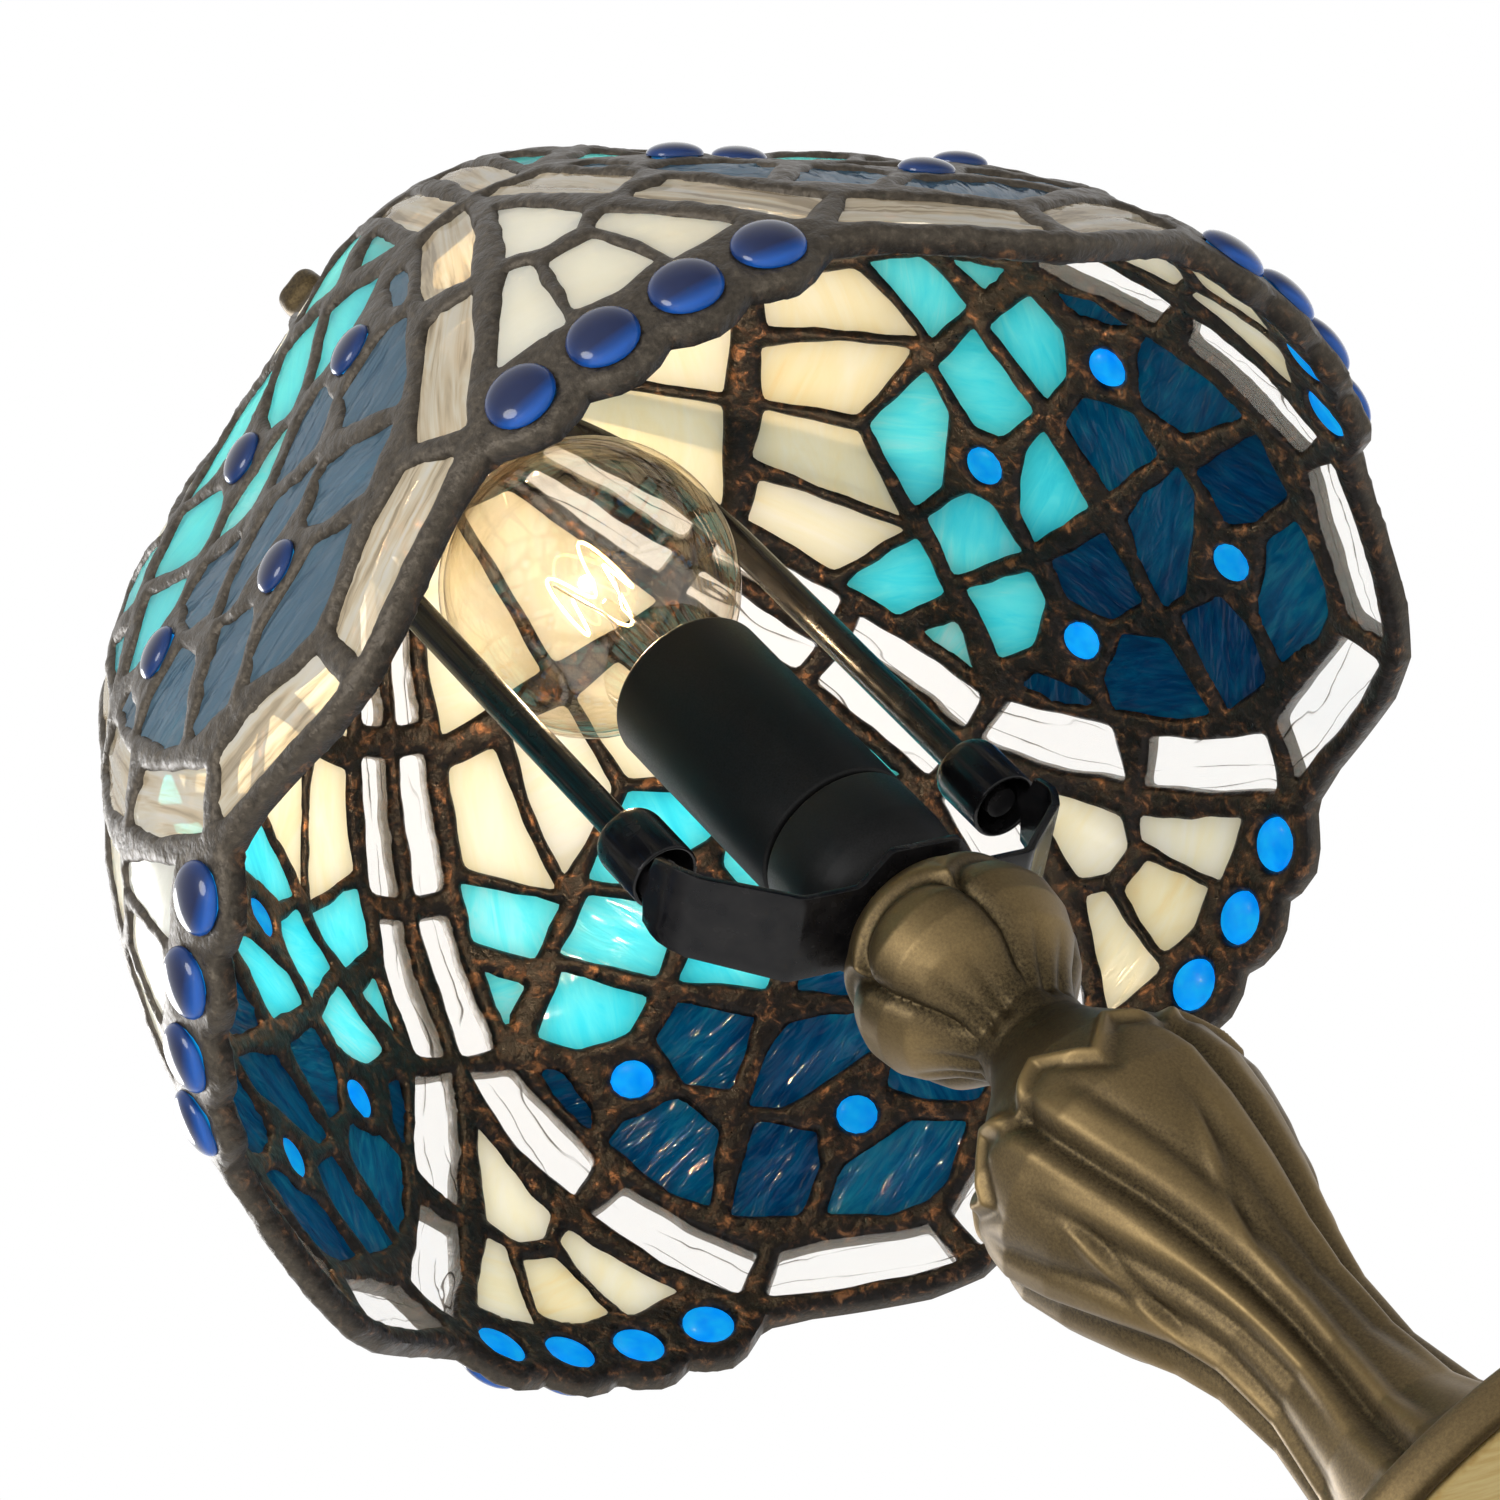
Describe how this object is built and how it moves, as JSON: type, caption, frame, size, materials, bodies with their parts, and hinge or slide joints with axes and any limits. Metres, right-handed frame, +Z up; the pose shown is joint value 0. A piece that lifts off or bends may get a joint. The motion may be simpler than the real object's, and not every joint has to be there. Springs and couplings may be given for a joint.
{
  "type": "stained glass table lamp",
  "caption": "Small table lamp with a lobed leaded-glass shade of peacock-eye panels on a wire harp, a screw socket with a clear globe bulb, and a cast baluster column on a round foot.",
  "frame": {"origin": "centre of the flat underside of the foot, on the column's axis", "axes": "+Z up along the column and harp, the harp's two legs along X, +Y towards the cord hole at the back"},
  "size_m": [0.2025, 0.2028, 0.346],
  "materials": {
    "bronze": "dark antique bronze paint with gold highlights",
    "pad": "brushed golden tan underside",
    "steel": "zinc plated thread",
    "brass": "bright",
    "black_metal": "gloss black",
    "black_plastic": "matte black moulding",
    "bulb_glass": "clear",
    "lead": "solder seam with dark copper-brown patina",
    "cream_glass": "opalescent cream with amber streaks",
    "turquoise_glass": "opalescent turquoise",
    "navy_glass": "streaky dark blue-green",
    "clear_glass": "clear rippled with faint streaks",
    "cobalt_glass": "polished domed jewels"
  },
  "bodies": {
    "stand": {"base_casting": "bronze", "base_pad": "pad", "cord_bushing": "black_plastic", "column_casting": "bronze", "lamp_rod": "steel", "rod_washer": "steel", "rod_nut": "brass", "harp_saddle": "black_metal", "socket_cup": "black_plastic", "socket_sleeve": "black_plastic", "socket_screw_shell": "brass", "socket_body": "black_plastic", "socket_contact": "brass"},
    "harp": {"harp_bow": "black_metal", "harp_top_plate": "black_metal"},
    "ferrule_right": {"ferrule_right": "black_metal"},
    "ferrule_left": {"ferrule_left": "black_metal"},
    "shade": {"lead_frame": "lead", "shade_cap": "bronze", "cream_panel_1": "cream_glass", "cream_panel_2": "cream_glass", "cream_panel_3": "cream_glass", "cream_panel_4": "cream_glass", "cream_panel_5": "cream_glass", "turquoise_panel_1": "turquoise_glass", "turquoise_panel_2": "turquoise_glass", "turquoise_panel_3": "turquoise_glass", "turquoise_panel_4": "turquoise_glass", "turquoise_panel_5": "turquoise_glass", "navy_panel_1": "navy_glass", "navy_panel_2": "navy_glass", "navy_panel_3": "navy_glass", "navy_panel_4": "navy_glass", "navy_panel_5": "navy_glass", "border_glass_1": "clear_glass", "border_glass_2": "clear_glass", "border_glass_3": "clear_glass", "border_glass_4": "clear_glass", "border_glass_5": "clear_glass", "fan_panel_1": "cream_glass", "fan_panel_2": "cream_glass", "fan_panel_3": "cream_glass", "fan_panel_4": "cream_glass", "fan_panel_5": "cream_glass", "jewel_strip_1": "cobalt_glass", "jewel_strip_2": "cobalt_glass", "jewel_strip_3": "cobalt_glass", "jewel_strip_4": "cobalt_glass", "jewel_strip_5": "cobalt_glass"},
    "finial": {"finial": "bronze"},
    "bulb": {"bulb_envelope": "bulb_glass", "bulb_stem": "bulb_glass", "bulb_screw_base": "brass", "bulb_contact": "brass"}
  },
  "joints": [
    {"name": "harp_lift", "type": "slide", "parent": "stand", "child": "harp", "axis": [0, 0, 1], "range_m": [0, 0.05]},
    {"name": "ferrule_right_slide", "type": "slide", "parent": "harp", "child": "ferrule_right", "axis": [0, 0, 1], "range_m": [0, 0.012]},
    {"name": "ferrule_left_slide", "type": "slide", "parent": "harp", "child": "ferrule_left", "axis": [0, 0, 1], "range_m": [0, 0.012]},
    {"name": "shade_turn", "type": "hinge", "parent": "harp", "child": "shade", "pos_m": [0, 0, 0.313], "axis": [0, 0, 1], "continuous": true},
    {"name": "finial_turn", "type": "hinge", "parent": "harp", "child": "finial", "pos_m": [0, 0, 0.316], "axis": [0, 0, 1], "continuous": true},
    {"name": "bulb_turn", "type": "hinge", "parent": "stand", "child": "bulb", "pos_m": [0, 0, 0.21], "axis": [0, 0, 1], "continuous": true}
  ]
}
